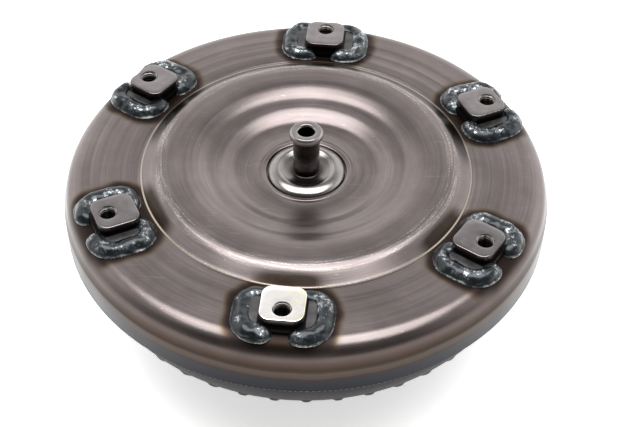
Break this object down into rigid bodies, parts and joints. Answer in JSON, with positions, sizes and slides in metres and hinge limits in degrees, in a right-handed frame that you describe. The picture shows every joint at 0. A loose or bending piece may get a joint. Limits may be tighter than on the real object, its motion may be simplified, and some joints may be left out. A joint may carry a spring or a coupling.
{
  "type": "torque converter",
  "caption": "Sealed automotive torque converter: dished front cover with centre pilot and welded tapped lugs, torus-shaped impeller, and a drive hub at the back.",
  "frame": {"origin": "centre of the free end face of the drive hub, on the axis of rotation; the part stands on that face", "axes": "+Z along the axis of rotation towards the engine side; one mounting lug lies on +Y and one on -Y, and the drive slots of the hub run along X"},
  "size_m": [0.284, 0.284, 0.1354],
  "materials": {
    "pressed_steel": "satin, drawn and lightly oiled, heat tinted at the welds",
    "shell_steel": "satin drawn steel, blued near the seam",
    "turned_steel": "fine turned",
    "lug_steel": "ground pads on dark forged sides",
    "lug_weld": "glossy weld with a dark blue-grey oxide",
    "seam_weld": "rippled weld with a dark oxide",
    "ground_hub": "ground bearing surface",
    "blade_steel": "stamped and brazed",
    "bearing_steel": "hardened and ground",
    "stamped_steel": "phosphated stamping",
    "forged_steel": "machined forging",
    "spring_steel": "oil tempered",
    "washer_polymer": "moulded",
    "seal_polymer": "moulded",
    "friction_paper": "fibrous friction paper",
    "cast_aluminium": "die cast"
  },
  "bodies": {
    "housing": {"front_cover": "pressed_steel", "pilot_hub": "turned_steel", "mounting_lugs": "lug_steel", "lug_weld_beads": "lug_weld", "rim_seam_weld": "seam_weld", "impeller_shell": "shell_steel", "impeller_blades": "blade_steel", "impeller_core_ring": "blade_steel", "impeller_hub": "ground_hub", "impeller_hub_weld": "seam_weld", "impeller_thrust_race": "bearing_steel"},
    "turbine": {"turbine_hub": "forged_steel", "turbine_shell": "blade_steel", "turbine_blades": "blade_steel", "turbine_core_ring": "blade_steel", "turbine_rivets": "forged_steel", "turbine_thrust_washer": "washer_polymer", "piston_seal_ring": "seal_polymer", "turbine_thrust_race": "bearing_steel", "turbine_drive_ring": "stamped_steel"},
    "damper": {"damper_retainer": "stamped_steel", "damper_back_plate": "stamped_steel", "damper_rivets": "forged_steel", "damper_springs": "spring_steel"},
    "piston": {"lockup_piston": "stamped_steel", "friction_lining": "friction_paper"},
    "stator": {"stator_wheel": "cast_aluminium", "clutch_outer_race": "bearing_steel", "clutch_rollers": "bearing_steel", "clutch_springs": "spring_steel", "clutch_front_plate": "stamped_steel", "clutch_rear_plate": "stamped_steel", "stator_snap_ring": "spring_steel", "stator_front_race": "bearing_steel", "stator_rear_race": "bearing_steel"},
    "inner_race": {"clutch_inner_race": "bearing_steel"},
    "front_bearing": {"front_bearing_cage": "stamped_steel", "front_bearing_needles": "bearing_steel"},
    "rear_bearing": {"rear_bearing_cage": "stamped_steel", "rear_bearing_needles": "bearing_steel"}
  },
  "joints": [
    {"name": "stator_spin", "type": "hinge", "parent": "housing", "child": "stator", "pos_m": [0, 0, 0.065], "axis": [0, 0, 1], "continuous": true},
    {"name": "turbine_spin", "type": "hinge", "parent": "stator", "child": "turbine", "pos_m": [0, 0, 0.085], "axis": [0, 0, 1], "continuous": true},
    {"name": "damper_twist", "type": "hinge", "parent": "turbine", "child": "damper", "pos_m": [0, 0, 0.097], "axis": [0, 0, 1], "range_deg": [-8, 8], "stiffness_Nm_per_rad": 1300, "deforming": ["damper_springs"]},
    {"name": "piston_slide", "type": "slide", "parent": "damper", "child": "piston", "axis": [0, 0, 1], "range_m": [0, 0.0012]},
    {"name": "one_way_clutch", "type": "hinge", "parent": "stator", "child": "inner_race", "pos_m": [0, 0, 0.065], "axis": [0, 0, 1], "continuous": true},
    {"name": "front_bearing_roll", "type": "hinge", "parent": "stator", "child": "front_bearing", "pos_m": [0, 0, 0.077], "axis": [0, 0, 1], "continuous": true},
    {"name": "rear_bearing_roll", "type": "hinge", "parent": "housing", "child": "rear_bearing", "pos_m": [0, 0, 0.053], "axis": [0, 0, 1], "continuous": true}
  ],
  "couplings": [
    {"joint": "front_bearing_roll", "follows": "turbine_spin", "ratio": 0.5},
    {"joint": "rear_bearing_roll", "follows": "stator_spin", "ratio": 0.5}
  ]
}
